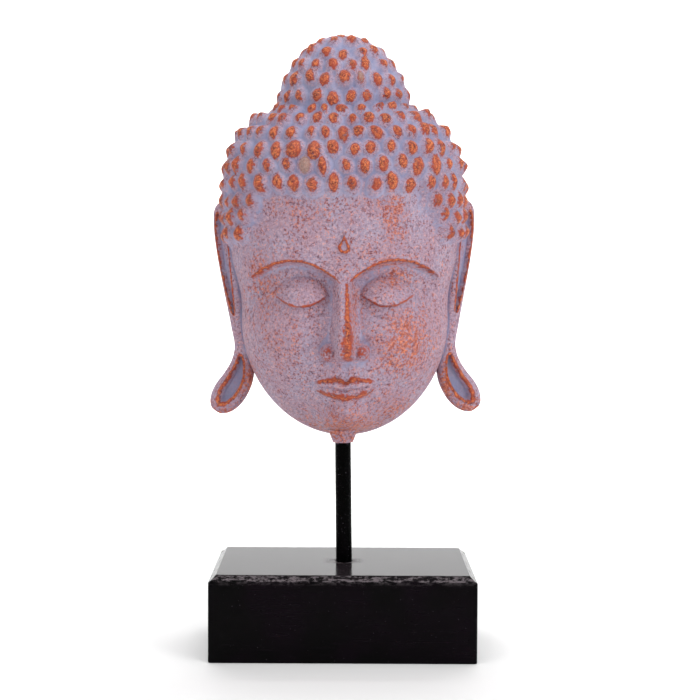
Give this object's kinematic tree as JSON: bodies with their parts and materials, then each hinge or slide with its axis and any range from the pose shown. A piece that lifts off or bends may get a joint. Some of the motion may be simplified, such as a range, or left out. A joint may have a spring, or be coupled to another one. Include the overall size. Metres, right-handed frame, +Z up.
{
  "type": "buddha head on stand",
  "caption": "Carved and painted wooden head with lowered eyes, rows of pointed curls, a raised crown and long ear lobes, held by a black dowel on a black block.",
  "frame": {"origin": "middle of the block's underside, which lies on the ground plane", "axes": "+Z up, square to the block's underside; the face looks along -Y; +X is at the viewer's right when facing it"},
  "size_m": [0.1367, 0.0755, 0.3022],
  "materials": {
    "painted_wood": "matte",
    "black_lacquer": "satin",
    "black_dowel": "gloss"
  },
  "bodies": {
    "root": {"block": "black_lacquer", "rod": "black_dowel", "head": "painted_wood"}
  },
  "joints": []
}
